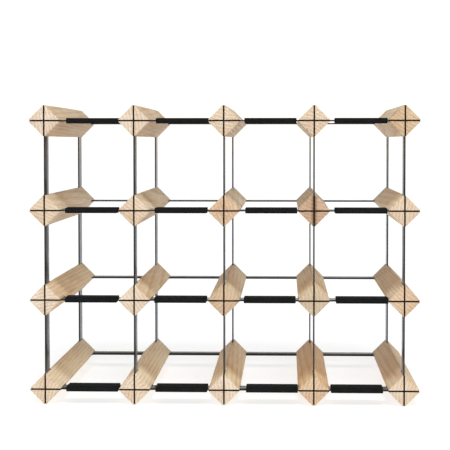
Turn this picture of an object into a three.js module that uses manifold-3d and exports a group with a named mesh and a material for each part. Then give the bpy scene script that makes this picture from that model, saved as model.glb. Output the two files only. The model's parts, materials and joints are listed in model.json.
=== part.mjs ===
// Wine rack for twelve bottles, four columns by three rows of square cells.
//
// Square wooden blocks, turned on edge, run from front to back at the cell corners. Flat steel
// straps sit in saw kerfs across both ends of each block, and cross each other in half laps.
// Every gap of the front rails carries a flattened sleeve, which can slide along its rail.
//
// Millimetres, +Z up, the front faces -Y. The origin is on the floor under the rack's middle.

import * as THREE from 'three';
import { mergeVertices } from 'three/addons/utils/BufferGeometryUtils.js';
import Module from 'manifold-3d';

// Driving dimensions

const columns = 5;
const rows = 4;
const pitch = 97;
const rackDepth = 228;

const blockSide = 25;
const blockEase = 1;

const strapWidth = 19;
const strapThickness = 1.4;
const strapInset = 2.5;
const strapEndInset = 0.5;
const fitGap = 0.3;
const kerfDepth = 28;

const sleeveLength = 56;
const sleeveWidth = 24;
const sleeveThickness = 6;
const sleeveCorner = 2.5;
const boreWidth = 20;
const boreThickness = 2;
const boreCorner = 0.8;

// How far each sleeve rests to the right of the middle of its gap, from the top row down

const sleeveOffsets = [
  [3.4, 3.4, 1.6, 1.8],
  [1.8, 1.8, 2.5, 2.0],
  [1.1, 1.1, 0.9, 3.4],
  [2.1, 2.1, 3.3, -1.9],
];

// Derived sizes

const quarterTurn = Math.PI / 2;
const tipToTip = blockSide * Math.SQRT2 - blockEase * Math.SQRT2;
const kerfWidth = strapThickness + 2 * fitGap;
const lapDepth = (strapWidth + fitGap) / 2;

const columnX = (column) => (column - (columns - 1) / 2) * pitch;
const rowZ = (row) => tipToTip / 2 + (rows - 1 - row) * pitch;

// Finishes

const woodColors = [0xe9cda8, 0xe4c298, 0xedd6b8, 0xdfba8c];

function woodMaterial(row, column) {
  const color = woodColors[(row * 3 + column) % woodColors.length];
  return new THREE.MeshStandardMaterial({ color, roughness: 0.7, metalness: 0 });
}

function strapMaterial() {
  return new THREE.MeshStandardMaterial({ color: 0x26272a, roughness: 0.45, metalness: 0.2 });
}

function sleeveMaterial() {
  return new THREE.MeshStandardMaterial({ color: 0x17181a, roughness: 0.75, metalness: 0 });
}

// Solids

const wasm = await Module();
wasm.setup();

function toSolid(geometry) {
  const bare = geometry.index ? geometry.toNonIndexed() : geometry.clone();
  bare.deleteAttribute('normal');
  bare.deleteAttribute('uv');
  const merged = mergeVertices(bare);
  const vertProperties = new Float32Array(merged.attributes.position.array);
  const triVerts = new Uint32Array(merged.index.array);
  return new wasm.Manifold(new wasm.Mesh({ numProp: 3, vertProperties, triVerts }));
}

function toGeometry(solid) {
  const { vertProperties, triVerts } = solid.getMesh();
  const geometry = new THREE.BufferGeometry();
  geometry.setAttribute('position', new THREE.BufferAttribute(vertProperties, 3));
  geometry.setIndex(new THREE.BufferAttribute(triVerts, 1));
  const faceted = geometry.toNonIndexed();
  faceted.computeVertexNormals();
  return faceted;
}

// A block is a diamond on end: a square section turned 45 degrees, with eased edges, that runs
// along Y. Each end has an upright and a level kerf, which cross in the middle.

function diamondShape() {
  const tip = tipToTip / 2;
  const flat = blockEase / Math.SQRT2;
  const shape = new THREE.Shape();
  shape.moveTo(tip, -flat);
  shape.lineTo(tip, flat);
  shape.lineTo(flat, tip);
  shape.lineTo(-flat, tip);
  shape.lineTo(-tip, flat);
  shape.lineTo(-tip, -flat);
  shape.lineTo(-flat, -tip);
  shape.lineTo(flat, -tip);
  return shape;
}

function blockGeometry() {
  const blank = new THREE.ExtrudeGeometry(diamondShape(), { depth: rackDepth, bevelEnabled: false });
  blank.translate(0, 0, -rackDepth / 2);
  blank.rotateX(quarterTurn);

  const past = blockSide * 2;
  let block = toSolid(blank);
  for (const end of [-1, 1]) {
    const uprightKerf = new THREE.BoxGeometry(kerfWidth, kerfDepth * 2, past);
    const levelKerf = new THREE.BoxGeometry(past, kerfDepth * 2, kerfWidth);
    for (const kerf of [uprightKerf, levelKerf]) {
      kerf.translate(0, (end * rackDepth) / 2, 0);
      block = block.subtract(toSolid(kerf));
    }
  }
  return toGeometry(block);
}

// A strap lies flat: its length runs along X, its width from the outer edge at y = 0 inwards to
// y = strapWidth, and its thickness is centred on z = 0. A half-lap slot crosses it at each
// crossing, open at the outer or at the inner edge.

function strapGeometry(crossings, slotsOpenOutwards) {
  const half = ((crossings - 1) * pitch + tipToTip) / 2 - strapEndInset;
  const slotHalf = strapThickness / 2 + fitGap;
  const slotted = slotsOpenOutwards ? 0 : strapWidth;
  const plain = strapWidth - slotted;
  const slotEnd = slotsOpenOutwards ? lapDepth : strapWidth - lapDepth;

  const shape = new THREE.Shape();
  shape.moveTo(half, plain);
  shape.lineTo(-half, plain);
  shape.lineTo(-half, slotted);
  for (let crossing = 0; crossing < crossings; crossing += 1) {
    const middle = (crossing - (crossings - 1) / 2) * pitch;
    shape.lineTo(middle - slotHalf, slotted);
    shape.lineTo(middle - slotHalf, slotEnd);
    shape.lineTo(middle + slotHalf, slotEnd);
    shape.lineTo(middle + slotHalf, slotted);
  }
  shape.lineTo(half, slotted);

  const geometry = new THREE.ExtrudeGeometry(shape, { depth: strapThickness, bevelEnabled: false });
  geometry.translate(0, 0, -strapThickness / 2);
  return geometry;
}

// A sleeve is a flattened tube along X. Its bore is a little larger than the rail inside it.

function roundedRectangle(path, width, height, radius) {
  const x = width / 2 - radius;
  const y = height / 2 - radius;
  path.absarc(x, y, radius, 0, quarterTurn);
  path.absarc(-x, y, radius, quarterTurn, 2 * quarterTurn);
  path.absarc(-x, -y, radius, 2 * quarterTurn, 3 * quarterTurn);
  path.absarc(x, -y, radius, 3 * quarterTurn, 4 * quarterTurn);
  path.closePath();
  return path;
}

function sleeveGeometry() {
  const section = roundedRectangle(new THREE.Shape(), sleeveWidth, sleeveThickness, sleeveCorner);
  section.holes.push(roundedRectangle(new THREE.Path(), boreWidth, boreThickness, boreCorner));
  const geometry = new THREE.ExtrudeGeometry(section, {
    depth: sleeveLength,
    bevelEnabled: false,
    curveSegments: 5,
  });
  geometry.translate(0, 0, -sleeveLength / 2);
  geometry.rotateX(quarterTurn);
  geometry.rotateZ(quarterTurn);
  return geometry;
}

// Assembly

function namedMesh(name, geometry, material, x, y, z) {
  const mesh = new THREE.Mesh(geometry, material);
  mesh.name = name;
  mesh.position.set(x, y, z);
  return mesh;
}

function addBlocks(rack) {
  const geometry = blockGeometry();
  for (let row = 0; row < rows; row += 1) {
    for (let column = 0; column < columns; column += 1) {
      const name = `block_row${row + 1}_col${column + 1}`;
      const material = woodMaterial(row, column);
      rack.add(namedMesh(name, geometry, material, columnX(column), 0, rowZ(row)));
    }
  }
}

// One grid of uprights and rails, built as the front one. The back one is the same grid turned
// half a turn about Z, so its columns are counted from the other side.

function strapGrid(side) {
  const grid = new THREE.Group();
  const mirror = side === 'back' ? -1 : 1;
  const outerEdge = -rackDepth / 2 + strapInset;
  const middleZ = (rowZ(0) + rowZ(rows - 1)) / 2;

  const uprightGeometry = strapGeometry(rows, true);
  for (let column = 0; column < columns; column += 1) {
    const name = `${side}_upright_${column + 1}`;
    const x = mirror * columnX(column);
    const upright = namedMesh(name, uprightGeometry, strapMaterial(), x, outerEdge, middleZ);
    upright.rotation.y = -quarterTurn;
    grid.add(upright);
  }

  const railGeometry = strapGeometry(columns, false);
  for (let row = 0; row < rows; row += 1) {
    const name = `${side}_rail_${row + 1}`;
    grid.add(namedMesh(name, railGeometry, strapMaterial(), 0, outerEdge, rowZ(row)));
  }

  grid.rotation.z = side === 'back' ? Math.PI : 0;
  return grid;
}

function addSleeves(rack) {
  const geometry = sleeveGeometry();
  const y = -rackDepth / 2 + strapInset + strapWidth / 2;
  sleeveOffsets.forEach((offsets, row) => {
    offsets.forEach((offset, gap) => {
      const name = `sleeve_row${row + 1}_gap${gap + 1}`;
      const x = columnX(gap) + pitch / 2 + offset;
      rack.add(namedMesh(name, geometry, sleeveMaterial(), x, y, rowZ(row)));
    });
  });
}

const rack = new THREE.Group();
addBlocks(rack);
rack.add(strapGrid('front'));
rack.add(strapGrid('back'));
addSleeves(rack);

export default rack;
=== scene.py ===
"""A wine rack of pale softwood blocks on edge, tapped together with black steel strap.

Every piece is modelled new at the place its frame node gives. Metres, Z up, the front faces -Y.
"""

import json
import math
import random

import bpy
from mathutils import Matrix, Vector

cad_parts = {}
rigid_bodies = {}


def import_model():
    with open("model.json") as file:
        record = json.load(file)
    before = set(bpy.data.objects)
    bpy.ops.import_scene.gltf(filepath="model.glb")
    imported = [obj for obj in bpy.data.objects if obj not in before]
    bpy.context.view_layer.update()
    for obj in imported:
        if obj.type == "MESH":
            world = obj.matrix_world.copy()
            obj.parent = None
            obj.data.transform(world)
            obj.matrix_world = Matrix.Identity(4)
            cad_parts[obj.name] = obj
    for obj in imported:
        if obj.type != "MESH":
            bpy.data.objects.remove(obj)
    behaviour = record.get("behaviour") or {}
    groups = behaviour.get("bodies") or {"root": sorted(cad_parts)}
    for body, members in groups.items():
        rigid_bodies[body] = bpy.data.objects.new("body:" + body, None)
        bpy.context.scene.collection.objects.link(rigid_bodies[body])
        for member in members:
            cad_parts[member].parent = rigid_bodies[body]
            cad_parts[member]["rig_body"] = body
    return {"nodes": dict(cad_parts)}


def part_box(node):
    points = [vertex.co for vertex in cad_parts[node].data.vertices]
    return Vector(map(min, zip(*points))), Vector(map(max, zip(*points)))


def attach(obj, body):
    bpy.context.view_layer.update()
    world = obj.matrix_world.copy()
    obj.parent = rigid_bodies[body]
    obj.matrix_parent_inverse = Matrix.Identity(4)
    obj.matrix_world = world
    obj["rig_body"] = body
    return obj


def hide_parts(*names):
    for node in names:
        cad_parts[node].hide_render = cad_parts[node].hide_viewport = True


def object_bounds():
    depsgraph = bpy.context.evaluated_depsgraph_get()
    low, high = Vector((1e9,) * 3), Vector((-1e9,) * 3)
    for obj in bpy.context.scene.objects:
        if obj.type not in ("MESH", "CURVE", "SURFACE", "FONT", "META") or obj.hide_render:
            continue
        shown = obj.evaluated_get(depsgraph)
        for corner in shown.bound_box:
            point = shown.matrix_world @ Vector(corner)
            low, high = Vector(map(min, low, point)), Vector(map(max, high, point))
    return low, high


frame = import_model()
cad_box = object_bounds()

MM = 0.001

COLUMNS = 5
ROWS = 4
SIDES = ("front", "back")

BLOCK_SIDE = 25 * MM
END_EASE = 0.6 * MM
KERF_WIDTH = 1.8 * MM
KERF_DEPTH = 28 * MM

STRAP_CORNER = 1.5 * MM
STRAP_EDGE = 0.1 * MM
LAP_GAP = 0.3 * MM
SLOT_OVERRUN = 2 * MM

SLEEVE_FACETS = 48
SLEEVE_WALL = 2 * MM
SLEEVE_CROWN = 0.15 * MM
SLEEVE_LIP = 0.5 * MM

SMOOTH_ANGLE = math.radians(35)
SHARP_ANGLE = math.radians(60)

# The Y of a normal from which a face counts as an end, and a distance too small to matter.
END_FACING = 0.9
SAME_PLACE = 0.05 * MM


# Pieces as objects

def choose(piece):
    """Makes one piece the only selected one, and the active one."""
    bpy.ops.object.select_all(action="DESELECT")
    piece.select_set(True)
    bpy.context.view_layer.objects.active = piece


def add_bar(name, low, high):
    """A square-edged bar that fills the box from low to high."""
    bpy.ops.object.select_all(action="DESELECT")
    bpy.ops.mesh.primitive_cube_add(size=1, location=(low + high) / 2)
    bar = bpy.context.active_object
    bar.name = name
    bar.scale = high - low
    bpy.ops.object.transform_apply(location=True, rotation=True, scale=True)
    return bar


def edit_edges(piece, is_wanted):
    """Opens a piece in edit mode with the edges selected whose two ends pass the test."""
    choose(piece)
    bpy.ops.object.mode_set(mode="EDIT")
    bpy.ops.mesh.select_mode(type="EDGE")
    bpy.ops.mesh.select_all(action="DESELECT")
    bpy.ops.object.mode_set(mode="OBJECT")
    points = piece.data.vertices
    for edge in piece.data.edges:
        a, b = (points[i].co for i in edge.vertices)
        edge.select = is_wanted(a, b)
    bpy.ops.object.mode_set(mode="EDIT")


def leave_edit():
    bpy.ops.object.mode_set(mode="OBJECT")


def apply_modifier(piece, kind, **settings):
    """Adds one modifier with its settings, and applies it."""
    choose(piece)
    modifier = piece.modifiers.new(kind.lower(), kind)
    for setting, value in settings.items():
        setattr(modifier, setting, value)
    bpy.ops.object.modifier_apply(modifier=modifier.name)


def cut(piece, cutter):
    """Cuts one solid out of another. The cut faces take the cutter's material."""
    apply_modifier(piece, "BOOLEAN", operation="DIFFERENCE", solver="EXACT",
                   material_mode="TRANSFER", object=cutter)
    bpy.data.objects.remove(cutter)


def shade(piece):
    choose(piece)
    bpy.ops.object.shade_smooth_by_angle(angle=SMOOTH_ANGLE)


def copy_to(model, name, matrix):
    """A copy of a model with its own mesh, moved by a matrix that acts on the mesh."""
    piece = model.copy()
    piece.data = model.data.copy()
    piece.name = name
    piece.data.name = name
    piece.data.transform(matrix)
    bpy.context.scene.collection.objects.link(piece)
    return piece


def place(piece, node):
    """Lets a finished piece stand for its frame node."""
    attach(piece, frame["nodes"][node]["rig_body"])
    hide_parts(node)


def middle(node):
    low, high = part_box(node)
    return (low + high) / 2


# Materials

def linear(hex_colour):
    """An sRGB hex colour as linear red, green, blue and alpha."""
    parts = [int(hex_colour[i:i + 2], 16) / 255 for i in (1, 3, 5)]
    return [p / 12.92 if p <= 0.04045 else ((p + 0.055) / 1.055) ** 2.4 for p in parts] + [1]


def add_node(tree, kind, links=None, **settings):
    """Adds one node. Settings name its properties, and links its inputs, with a value or a socket."""
    node = tree.nodes.new(kind)
    for setting, value in settings.items():
        setattr(node, setting, value)
    for name, value in (links or {}).items():
        socket = node.inputs[name]
        if isinstance(value, bpy.types.NodeSocket):
            tree.links.new(value, socket)
        else:
            socket.default_value = value
    return node


def new_material(name):
    """A new material, and its node tree with nothing in it yet."""
    material = bpy.data.materials.new(name)
    material.use_nodes = True
    tree = material.node_tree
    tree.nodes.clear()
    return material, tree


def finish_material(tree, shader):
    output = add_node(tree, "ShaderNodeOutputMaterial")
    tree.links.new(shader.outputs["BSDF"], output.inputs["Surface"])


# Real growth rings can stand this far apart. Real fibres are far finer than 1.1 mm, and are drawn
# this coarse so that they show.
RING_SPACING = 3.8 * MM
FIBRE_WIDTH = 1.1 * MM
FIBRE_STRETCH = 0.02
DRIFT_WIDTH = 22 * MM
DRIFT_STRETCH = 0.3
GRAIN_LEAN = (math.radians(0.9), 0, math.radians(-1.2))
WAVE_RADIANS_PER_UNIT = 20

# A shade of 1 leaves a block's tone as it is, and the darkest shade turns it this warm brown.
DARKEST_SHADE = 0.55
DARKEST_TINT = "#c79a66"
CLEAR = "#ffffff"

# A knot's browns: in its middle, then so many of its radii out. They are gone at this share of
# the distance over which the knot makes the rings swell.
KNOT_RADIUS = 3.2 * MM
KNOT_REACH = 11 * MM
KNOT_SWELL = 1.12
KNOT_MIDDLE = "#b08355"
KNOT_RINGS = ((0.7, "#c19766"), (1.0, "#8a5f38"), (1.3, "#d9bc93"))
KNOT_FADED = 0.75

SCORCH_REACH = 4 * MM
SCORCH_TINT = "#a09a94"


def pine(name, tone_attribute, late_wood, fibre_dark, roughness):
    """Sanded, unfinished pine: growth rings round the block's own pith, and fine fibres that run
    almost along Y, so the ends show arcs and specks and the sides show long straight streaks.
    The rings swell round a knot, and the knot itself is brown with a darker rim. The wood beside
    the mouth of a scorched kerf is stained brown."""
    material, tree = new_material(name)
    place_in_rack = add_node(tree, "ShaderNodeTexCoord").outputs["Object"]
    tone = add_node(tree, "ShaderNodeAttribute", attribute_name=tone_attribute).outputs["Color"]
    pith = add_node(tree, "ShaderNodeAttribute", attribute_name="pith").outputs["Vector"]
    knot = add_node(tree, "ShaderNodeAttribute", attribute_name="knot").outputs["Vector"]
    scorch = add_node(tree, "ShaderNodeAttribute", attribute_name="scorch").outputs["Vector"]

    from_pith = add_node(tree, "ShaderNodeVectorMath", {0: place_in_rack, 1: pith},
                         operation="SUBTRACT").outputs["Vector"]
    leaning = add_node(tree, "ShaderNodeMapping", {"Vector": from_pith, "Rotation": GRAIN_LEAN})
    to_knot = add_node(tree, "ShaderNodeVectorMath", {0: place_in_rack, 1: knot}, operation="DISTANCE")
    swell = add_node(tree, "ShaderNodeMapRange",
                     {"Value": to_knot.outputs["Value"], "From Min": KNOT_REACH, "From Max": 0,
                      "To Min": 1, "To Max": KNOT_SWELL}, interpolation_type="SMOOTHERSTEP")
    grain = add_node(tree, "ShaderNodeVectorMath",
                     {0: leaning.outputs["Vector"], "Scale": swell.outputs[0]}, operation="SCALE")
    fibre_place = add_node(tree, "ShaderNodeMapping",
                           {"Vector": grain.outputs["Vector"], "Scale": (1, FIBRE_STRETCH, 1)})
    drift_place = add_node(tree, "ShaderNodeMapping",
                           {"Vector": grain.outputs["Vector"], "Scale": (1, DRIFT_STRETCH, 1)})

    rings = add_node(tree, "ShaderNodeTexWave",
                     {"Vector": fibre_place.outputs["Vector"], "Distortion": 2.6, "Detail": 2,
                      "Detail Scale": 0.35,
                      "Scale": 2 * math.pi / (WAVE_RADIANS_PER_UNIT * RING_SPACING)},
                     wave_type="RINGS", rings_direction="Y", wave_profile="SAW")
    fibres = add_node(tree, "ShaderNodeTexNoise",
                      {"Vector": fibre_place.outputs["Vector"], "Scale": 1 / FIBRE_WIDTH,
                       "Detail": 3, "Roughness": 0.6})
    drift = add_node(tree, "ShaderNodeTexNoise",
                     {"Vector": drift_place.outputs["Vector"], "Scale": 1 / DRIFT_WIDTH, "Detail": 2})

    ring_shade = add_node(tree, "ShaderNodeMapRange",
                          {"Value": rings.outputs["Fac"], "From Min": 0.45, "From Max": 1,
                           "To Min": 1, "To Max": late_wood})
    fibre_shade = add_node(tree, "ShaderNodeMapRange",
                           {"Value": fibres.outputs["Fac"], "From Min": 0.62, "From Max": 0.38,
                            "To Min": 1.03, "To Max": fibre_dark})
    drift_shade = add_node(tree, "ShaderNodeMapRange",
                           {"Value": drift.outputs["Fac"], "From Min": 0.3, "From Max": 0.7,
                            "To Min": 0.92, "To Max": 1.06})
    with_fibres = add_node(tree, "ShaderNodeMath", {0: ring_shade.outputs[0], 1: fibre_shade.outputs[0]},
                           operation="MULTIPLY")
    shade = add_node(tree, "ShaderNodeMath", {0: with_fibres.outputs[0], 1: drift_shade.outputs[0]},
                     operation="MULTIPLY")
    warm = add_node(tree, "ShaderNodeValToRGB", {"Fac": shade.outputs[0]})
    warm.color_ramp.elements[0].position = DARKEST_SHADE
    warm.color_ramp.elements[0].color = linear(DARKEST_TINT)
    warm.color_ramp.elements[1].position = 1.0
    warm.color_ramp.elements[1].color = linear(CLEAR)
    wood = add_node(tree, "ShaderNodeMix", {6: tone, 7: warm.outputs["Color"], 0: 1.0},
                    data_type="RGBA", blend_type="MULTIPLY")

    knot_tone = add_node(tree, "ShaderNodeValToRGB",
                         {"Fac": add_node(tree, "ShaderNodeMapRange",
                                          {"Value": to_knot.outputs["Value"], "From Min": 0,
                                           "From Max": KNOT_REACH}).outputs[0]})
    ramp = knot_tone.color_ramp
    ramp.elements[0].color = linear(KNOT_MIDDLE)
    ramp.elements[1].position = KNOT_FADED
    ramp.elements[1].color = linear(CLEAR)
    for radii, brown in KNOT_RINGS:
        ramp.elements.new(radii * KNOT_RADIUS / KNOT_REACH).color = linear(brown)
    with_knot = add_node(tree, "ShaderNodeMix",
                         {6: wood.outputs[2], 7: knot_tone.outputs["Color"], 0: 1.0},
                         data_type="RGBA", blend_type="MULTIPLY")

    from_scorch = add_node(tree, "ShaderNodeVectorMath", {0: place_in_rack, 1: scorch},
                           operation="SUBTRACT")
    level = add_node(tree, "ShaderNodeVectorMath", {0: from_scorch.outputs["Vector"], 1: (1, 1, 0)},
                     operation="MULTIPLY")
    to_scorch = add_node(tree, "ShaderNodeVectorMath", {0: level.outputs["Vector"]}, operation="LENGTH")
    stain = add_node(tree, "ShaderNodeMapRange",
                     {"Value": to_scorch.outputs["Value"], "From Min": KERF_WIDTH / 2,
                      "From Max": SCORCH_REACH, "To Min": 1, "To Max": 0})
    colour = add_node(tree, "ShaderNodeMix",
                      {6: with_knot.outputs[2], 7: linear(SCORCH_TINT), 0: stain.outputs[0]},
                      data_type="RGBA", blend_type="MULTIPLY")

    bump = add_node(tree, "ShaderNodeBump",
                    {"Height": shade.outputs[0], "Strength": 0.25, "Distance": 0.12 * MM})
    shader = add_node(tree, "ShaderNodeBsdfPrincipled",
                      {"Base Color": colour.outputs[2], "Roughness": roughness, "IOR": 1.5,
                       "Specular IOR Level": 0.3, "Normal": bump.outputs["Normal"]})
    finish_material(tree, shader)
    return material


SAW_MARK_WIDTH = 2 * MM


def painted_shade_kerf():
    """Pine left raw in the saw kerf: a little scorched by the saw, and darkened far below the sanded
    faces as painted shade for the deep, narrow slot.
    """
    material, tree = new_material("scorched_kerf_painted_shade")
    where = add_node(tree, "ShaderNodeTexCoord").outputs["Object"]
    marks = add_node(tree, "ShaderNodeTexNoise",
                     {"Vector": where, "Scale": 1 / SAW_MARK_WIDTH, "Detail": 2})
    ramp = add_node(tree, "ShaderNodeValToRGB", {"Fac": marks.outputs["Fac"]})
    # Both browns are mostly painted shade for the inside of the slot, with a little real scorch.
    ramp.color_ramp.elements[0].color = linear("#2e1c0e")
    ramp.color_ramp.elements[1].color = linear("#4c321d")
    shader = add_node(tree, "ShaderNodeBsdfPrincipled",
                      {"Base Color": ramp.outputs["Color"], "Roughness": 0.9, "IOR": 1.5})
    finish_material(tree, shader)
    return material


PEEL_WIDTH = 0.9 * MM
CLOUD_WIDTH = 14 * MM


def powder_coat():
    """Satin black powder coat on mild steel strip: a faint orange peel, and slightly cloudy gloss."""
    material, tree = new_material("satin_black_powder_coat")
    where = add_node(tree, "ShaderNodeTexCoord").outputs["Object"]
    peel = add_node(tree, "ShaderNodeTexNoise", {"Vector": where, "Scale": 1 / PEEL_WIDTH, "Detail": 2})
    cloud = add_node(tree, "ShaderNodeTexNoise", {"Vector": where, "Scale": 1 / CLOUD_WIDTH, "Detail": 3})
    tint = add_node(tree, "ShaderNodeValToRGB", {"Fac": cloud.outputs["Fac"]})
    tint.color_ramp.elements[0].position = 0.3
    tint.color_ramp.elements[0].color = linear("#0c0d0f")
    tint.color_ramp.elements[1].position = 0.7
    tint.color_ramp.elements[1].color = linear("#121316")
    gloss = add_node(tree, "ShaderNodeMapRange",
                     {"Value": cloud.outputs["Fac"], "From Min": 0.3, "From Max": 0.7,
                      "To Min": 0.18, "To Max": 0.27})
    bump = add_node(tree, "ShaderNodeBump",
                    {"Height": peel.outputs["Fac"], "Strength": 0.12, "Distance": 0.05 * MM})
    shader = add_node(tree, "ShaderNodeBsdfPrincipled",
                      {"Base Color": tint.outputs["Color"], "Roughness": gloss.outputs[0],
                       "IOR": 1.5, "Specular IOR Level": 0.15, "Normal": bump.outputs["Normal"]})
    finish_material(tree, shader)
    return material


# The real die lines are finer than this. They are drawn this coarse so that they show.
DIE_LINE_WIDTH = 0.8 * MM
DIE_LINE_STRETCH = 0.04
BLOOM_WIDTH = 9 * MM


def soft_tube():
    """Matt black soft PVC tube, pressed flat: fine lines along its length from the die."""
    material, tree = new_material("matt_black_soft_pvc")
    where = add_node(tree, "ShaderNodeTexCoord").outputs["Object"]
    along = add_node(tree, "ShaderNodeMapping", {"Vector": where, "Scale": (DIE_LINE_STRETCH, 1, 1)})
    lines = add_node(tree, "ShaderNodeTexNoise",
                     {"Vector": along.outputs["Vector"], "Scale": 1 / DIE_LINE_WIDTH, "Detail": 2})
    bloom = add_node(tree, "ShaderNodeTexNoise", {"Vector": where, "Scale": 1 / BLOOM_WIDTH, "Detail": 3})
    tint = add_node(tree, "ShaderNodeValToRGB", {"Fac": bloom.outputs["Fac"]})
    tint.color_ramp.elements[0].position = 0.3
    tint.color_ramp.elements[0].color = linear("#0d0e0f")
    tint.color_ramp.elements[1].position = 0.75
    tint.color_ramp.elements[1].color = linear("#151618")
    bump = add_node(tree, "ShaderNodeBump",
                    {"Height": lines.outputs["Fac"], "Strength": 0.3, "Distance": 0.08 * MM})
    shader = add_node(tree, "ShaderNodeBsdfPrincipled",
                      {"Base Color": tint.outputs["Color"], "Roughness": 0.8, "IOR": 1.45,
                       "Specular IOR Level": 0.1, "Normal": bump.outputs["Normal"]})
    finish_material(tree, shader)
    return material


END_GRAIN = pine("sanded_pine_end_grain", "end_tone", late_wood=0.84, fibre_dark=0.83, roughness=0.75)
SIDE_GRAIN = pine("sanded_pine_side_grain", "side_tone", late_wood=0.86, fibre_dark=0.88, roughness=0.62)
KERF_PAINTED_SHADE = painted_shade_kerf()
STRAP = powder_coat()
SLEEVE = soft_tube()


# Wooden blocks

# The tones of sanded ends and sides, and the tone of each block: one word a row from the top down,
# one letter a block from the left.
END_TONES = {"c": "#d1c5b5", "s": "#ccbca8", "t": "#c7b097", "b": "#c3ad90", "r": "#ba9f88",
             "m": "#baa389", "g": "#bdaf9a"}
SIDE_TONES = {"p": "#ead9bc", "s": "#e0cdb1", "h": "#e3cca9", "t": "#dac3a5", "o": "#debd94"}
BLOCK_ENDS = ("ccssb", "sstrs", "ccmgt", "sscts")
BLOCK_SIDES = ("ttsss", "ssstp", "hhtht", "pphot")


def model_block(node):
    """A square bar turned on edge, with rounded arrises and two crossed kerfs in each end."""
    low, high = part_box(node)
    centre = (low + high) / 2
    half = Vector((BLOCK_SIDE, high.y - low.y, BLOCK_SIDE)) / 2
    block = add_bar("pine_block", centre - half, centre + half)
    block.data.materials.append(SIDE_GRAIN)
    block.data.materials.append(END_GRAIN)

    tip_to_tip = high.z - low.z
    arris = (BLOCK_SIDE * math.sqrt(2) - tip_to_tip) / (2 * math.sqrt(2) - 2)
    edit_edges(block, lambda a, b: abs(a.y - b.y) > BLOCK_SIDE)
    bpy.ops.mesh.bevel(offset=arris, segments=5, profile=0.5)
    leave_edit()
    end = half.y - SAME_PLACE
    edit_edges(block, lambda a, b: abs(a.y) > end and abs(a.y - b.y) < END_EASE)
    bpy.ops.mesh.bevel(offset=END_EASE, segments=2, profile=0.5)
    bpy.ops.mesh.select_all(action="SELECT")
    bpy.ops.transform.rotate(value=math.radians(45), orient_axis="Y", center_override=centre)
    leave_edit()

    for face in block.data.polygons:
        face.material_index = 1 if abs(face.normal.y) > END_FACING else 0

    reach = Vector((BLOCK_SIDE, 0, BLOCK_SIDE))
    for end_y, outwards in ((low.y, -1), (high.y, 1)):
        inner = end_y - outwards * KERF_DEPTH
        outer = end_y + outwards * KERF_DEPTH
        for thin in (Vector((KERF_WIDTH / 2, 0, reach.z)), Vector((reach.x, 0, KERF_WIDTH / 2))):
            near = Vector((centre.x, min(inner, outer), centre.z)) - thin
            far = Vector((centre.x, max(inner, outer), centre.z)) + thin
            cutter = add_bar("kerf_cutter", near, far)
            # The cut faces get the kerf material, whose dark browns are mostly painted shade for the
            # slot.
            cutter.data.materials.append(KERF_PAINTED_SHADE)
            cut(block, cutter)
    shade(block)
    return block


# Where a knot comes to the surface, measured from the middle of its block. The others are clear.
KNOTS = {
    "block_row1_col5": Vector((-8.6, -92, 8.6)) * MM,
    "block_row2_col2": Vector((-8.2, 38, -8.8)) * MM,
    "block_row3_col4": Vector((9.4, 61, 7.6)) * MM,
    "block_row4_col1": Vector((7.4, 72, -9.4)) * MM,
}
NO_KNOT = Vector((0, 0, -1))

# The one block whose upright kerf is scorched at its front mouth, and a place far from any block.
SCORCHED_BLOCK = "block_row2_col4"
NO_SCORCH = Vector((0, -1, 0))

# Where a point on a block's pith may be: how far to one side, how many degrees off straight left,
# right, up or down, and how far along the tree.
PITH_ASIDE = (35 * MM, 90 * MM)
PITH_STRAY = 24
PITH_ALONG = 3000 * MM
BOARD_SEED = 12


def mark_board(block, centre, end_tone, side_tone, knot, scorch, chance):
    """Gives a block the tones of its ends and sides, the places of its knot and of the scorched
    mouth of its kerf, and a point on the pith of the tree that it came from."""
    points = len(block.data.vertices)
    away = chance.uniform(*PITH_ASIDE)
    turn = math.radians(chance.choice((0, 90, 180, 270)) + chance.uniform(-PITH_STRAY, PITH_STRAY))
    along = chance.uniform(-PITH_ALONG, PITH_ALONG)
    pith = centre + Vector((away * math.cos(turn), along, away * math.sin(turn)))
    for name, tone in (("end_tone", end_tone), ("side_tone", side_tone)):
        colours = block.data.attributes.new(name, "FLOAT_COLOR", "POINT")
        colours.data.foreach_set("color", list(linear(tone)) * points)
    for name, place_of in (("pith", pith), ("knot", knot), ("scorch", scorch)):
        places = block.data.attributes.new(name, "FLOAT_VECTOR", "POINT")
        places.data.foreach_set("vector", list(place_of) * points)


def add_blocks():
    first = "block_row1_col1"
    model = model_block(first)
    chance = random.Random(BOARD_SEED)
    for row in range(ROWS):
        for column in range(COLUMNS):
            node = f"block_row{row + 1}_col{column + 1}"
            centre = middle(node)
            name = f"pine_{node}"
            block = copy_to(model, name, Matrix.Translation(centre - middle(first)))
            front_end = Vector((centre.x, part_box(node)[0].y, centre.z))
            scorch = front_end if node == SCORCHED_BLOCK else NO_SCORCH
            mark_board(block, centre, END_TONES[BLOCK_ENDS[row][column]],
                       SIDE_TONES[BLOCK_SIDES[row][column]],
                       centre + KNOTS.get(node, NO_KNOT), scorch, chance)
            place(block, node)
    bpy.data.objects.remove(model)


# Steel straps

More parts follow.
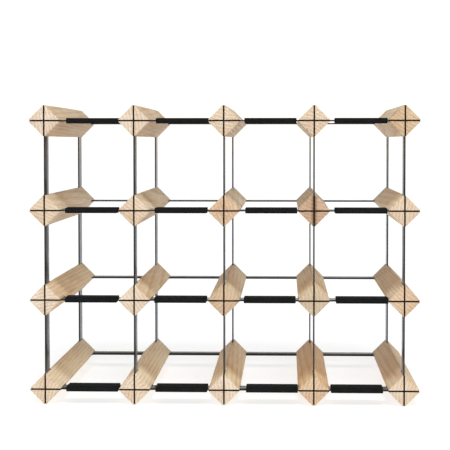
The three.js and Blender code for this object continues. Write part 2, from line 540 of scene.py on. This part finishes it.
def model_strap(node, crossing_nodes, slots_open_outwards):
    """A flat strap with clipped corners and half-lap slots where other straps cross it. The strap
    is a front one, so its outer edge is the one at the lower Y."""
    low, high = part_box(node)
    strap = add_bar("strap", low, high)
    strap.data.materials.append(STRAP)

    size = high - low
    thin = min(size.x, size.z)
    edit_edges(strap, lambda a, b: (a - b).length < 2 * thin)
    bpy.ops.mesh.bevel(offset=STRAP_CORNER, segments=3, profile=0.5)
    leave_edit()

    lap = (size.y + LAP_GAP) / 2
    for other in crossing_nodes:
        other_low, other_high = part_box(other)
        near = other_low - Vector((LAP_GAP, 0, LAP_GAP))
        far = other_high + Vector((LAP_GAP, 0, LAP_GAP))
        if size.x > size.z:
            near.z, far.z = low.z - SLOT_OVERRUN, high.z + SLOT_OVERRUN
        else:
            near.x, far.x = low.x - SLOT_OVERRUN, high.x + SLOT_OVERRUN
        if slots_open_outwards:
            near.y, far.y = low.y - SLOT_OVERRUN, low.y + lap
        else:
            near.y, far.y = high.y - lap, high.y + SLOT_OVERRUN
        cut(strap, add_bar("slot_cutter", near, far))
    apply_modifier(strap, "BEVEL", width=STRAP_EDGE, segments=2, limit_method="ANGLE",
                   angle_limit=SHARP_ANGLE)
    shade(strap)
    return strap


def add_straps(kind, count, crossing_kind, crossing_count, slots_open_outwards):
    """All straps of one kind. The back ones are the front one turned half round about Z."""
    first = f"front_{kind}_1"
    crossing = [f"front_{crossing_kind}_{i + 1}" for i in range(crossing_count)]
    model = model_strap(first, crossing, slots_open_outwards)
    start = middle(first)
    for side in SIDES:
        turn = Matrix.Rotation(math.pi if side == "back" else 0, 4, "Z")
        for i in range(count):
            node = f"{side}_{kind}_{i + 1}"
            matrix = Matrix.Translation(middle(node)) @ turn @ Matrix.Translation(-start)
            place(copy_to(model, f"steel_{node}", matrix), node)
    bpy.data.objects.remove(model)


# Sleeves

def model_sleeve(node):
    """A round tube pressed flat over the rail: two round edges, and flats that stay a little crowned."""
    low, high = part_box(node)
    centre = (low + high) / 2
    size = high - low
    radius = size.z / 2
    bpy.ops.object.select_all(action="DESELECT")
    bpy.ops.mesh.primitive_cylinder_add(vertices=SLEEVE_FACETS, radius=radius, depth=size.x,
                                        end_fill_type="NOTHING", location=centre,
                                        rotation=(0, math.pi / 2, 0))
    sleeve = bpy.context.active_object
    sleeve.name = "sleeve"
    bpy.ops.object.transform_apply(location=True, rotation=True, scale=True)
    sleeve.data.materials.append(SLEEVE)

    spread = size.y / 2 - radius
    flatter = (radius - SLEEVE_CROWN) / radius
    for outwards in (-1, 1):
        edit_edges(sleeve, lambda a, b: min(outwards * (a.y - centre.y),
                                            outwards * (b.y - centre.y)) > SAME_PLACE)
        bpy.ops.transform.resize(value=(1, 1, flatter), center_override=centre)
        bpy.ops.transform.translate(value=(0, outwards * spread, 0))
        leave_edit()

    apply_modifier(sleeve, "SOLIDIFY", thickness=SLEEVE_WALL, offset=-1, use_even_offset=True)
    apply_modifier(sleeve, "BEVEL", width=SLEEVE_LIP, segments=3, limit_method="ANGLE",
                   angle_limit=SHARP_ANGLE)
    shade(sleeve)
    return sleeve


def add_sleeves():
    first = "sleeve_row1_gap1"
    model = model_sleeve(first)
    for row in range(ROWS):
        for gap in range(COLUMNS - 1):
            node = f"sleeve_row{row + 1}_gap{gap + 1}"
            matrix = Matrix.Translation(middle(node) - middle(first))
            place(copy_to(model, f"pvc_{node}", matrix), node)
    bpy.data.objects.remove(model)


# Studio

FLOOR_SIZE = 60
FLOOR_GREY = "#9c9c9c"
FLOOR_GLOW = 0.76
WALL_TINT = "#fff9f1"
WALL_LIGHT = 1.15
FRONT_LIGHT = 2.1
CEILING_LIGHT = 0.18

# The Y of a direction where the front wall begins and where it is in full, and the Z of one where
# the ceiling does.
FRONT_WALL = (-0.3, -0.7)
CEILING = (0.2, 0.45)

# The angles of the key light and of the camera are in degrees.
KEY_TINT = "#edf8ff"
KEY_STRENGTH = 2.25
KEY_SPREAD = 20
KEY_HEIGHT = 59
KEY_TO_RIGHT = 8

CAMERA_PLACE = Vector((66.5, -1346.3, 284.7)) * MM
CAMERA_TURN_LEFT = 1.68
CAMERA_TILT_DOWN = 1.88
CAMERA_LENS = 92
CAMERA_SHIFT = (-0.06, -0.10)


def add_floor():
    """An opal acrylic table lit from below, so that it stays pale and shadows on it are faint."""
    bpy.ops.object.select_all(action="DESELECT")
    bpy.ops.mesh.primitive_plane_add(size=FLOOR_SIZE, location=(0, 0, cad_box[0].z))
    floor = bpy.context.active_object
    floor.name = "studio_floor"
    material, tree = new_material("opal_acrylic_light_table")
    shader = add_node(tree, "ShaderNodeBsdfPrincipled",
                      {"Base Color": linear(FLOOR_GREY), "Roughness": 0.9,
                       "Specular IOR Level": 0.0, "Emission Color": linear("#ffffff"),
                       "Emission Strength": FLOOR_GLOW})
    finish_material(tree, shader)
    floor.data.materials.append(material)


def add_world():
    """White walls round the floor, the front one much the brightest, and a dim ceiling."""
    world = bpy.data.worlds.new("white_studio")
    bpy.context.scene.world = world
    world.use_nodes = True
    tree = world.node_tree
    tree.nodes.clear()
    direction = add_node(tree, "ShaderNodeTexCoord").outputs["Generated"]
    part = add_node(tree, "ShaderNodeSeparateXYZ", {"Vector": direction}).outputs
    front = add_node(tree, "ShaderNodeMapRange",
                     {"Value": part["Y"], "From Min": FRONT_WALL[0], "From Max": FRONT_WALL[1],
                      "To Min": WALL_LIGHT, "To Max": WALL_LIGHT + FRONT_LIGHT})
    light = add_node(tree, "ShaderNodeMapRange",
                     {"Value": part["Z"], "From Min": CEILING[0], "From Max": CEILING[1],
                      "To Min": front.outputs[0], "To Max": CEILING_LIGHT})
    background = add_node(tree, "ShaderNodeBackground",
                          {"Color": linear(WALL_TINT), "Strength": light.outputs[0]})
    output = add_node(tree, "ShaderNodeOutputWorld")
    tree.links.new(background.outputs["Background"], output.inputs["Surface"])


def add_key_light():
    """A broad soft light from high above the front, a little to the right."""
    light = bpy.data.lights.new("key_light", "SUN")
    light.energy = KEY_STRENGTH
    light.color = linear(KEY_TINT)[:3]
    light.angle = math.radians(KEY_SPREAD)
    lamp = bpy.data.objects.new("key_light", light)
    height, to_right = math.radians(KEY_HEIGHT), math.radians(KEY_TO_RIGHT)
    towards = Vector((math.sin(to_right) * math.cos(height),
                      -math.cos(to_right) * math.cos(height), math.sin(height)))
    lamp.rotation_euler = towards.to_track_quat("Z", "Y").to_euler()
    bpy.context.scene.collection.objects.link(lamp)


def add_camera():
    data = bpy.data.cameras.new("camera")
    data.lens = CAMERA_LENS
    data.shift_x, data.shift_y = CAMERA_SHIFT
    camera = bpy.data.objects.new("camera", data)
    camera.location = CAMERA_PLACE
    camera.rotation_euler = (math.radians(90 - CAMERA_TILT_DOWN), 0, math.radians(CAMERA_TURN_LEFT))
    bpy.context.scene.collection.objects.link(camera)
    bpy.context.scene.camera = camera


add_camera()
add_world()
add_key_light()
add_floor()
add_blocks()
add_straps("upright", COLUMNS, "rail", ROWS, slots_open_outwards=True)
add_straps("rail", ROWS, "upright", COLUMNS, slots_open_outwards=False)
add_sleeves()
bpy.context.scene.view_settings.view_transform = "Standard"
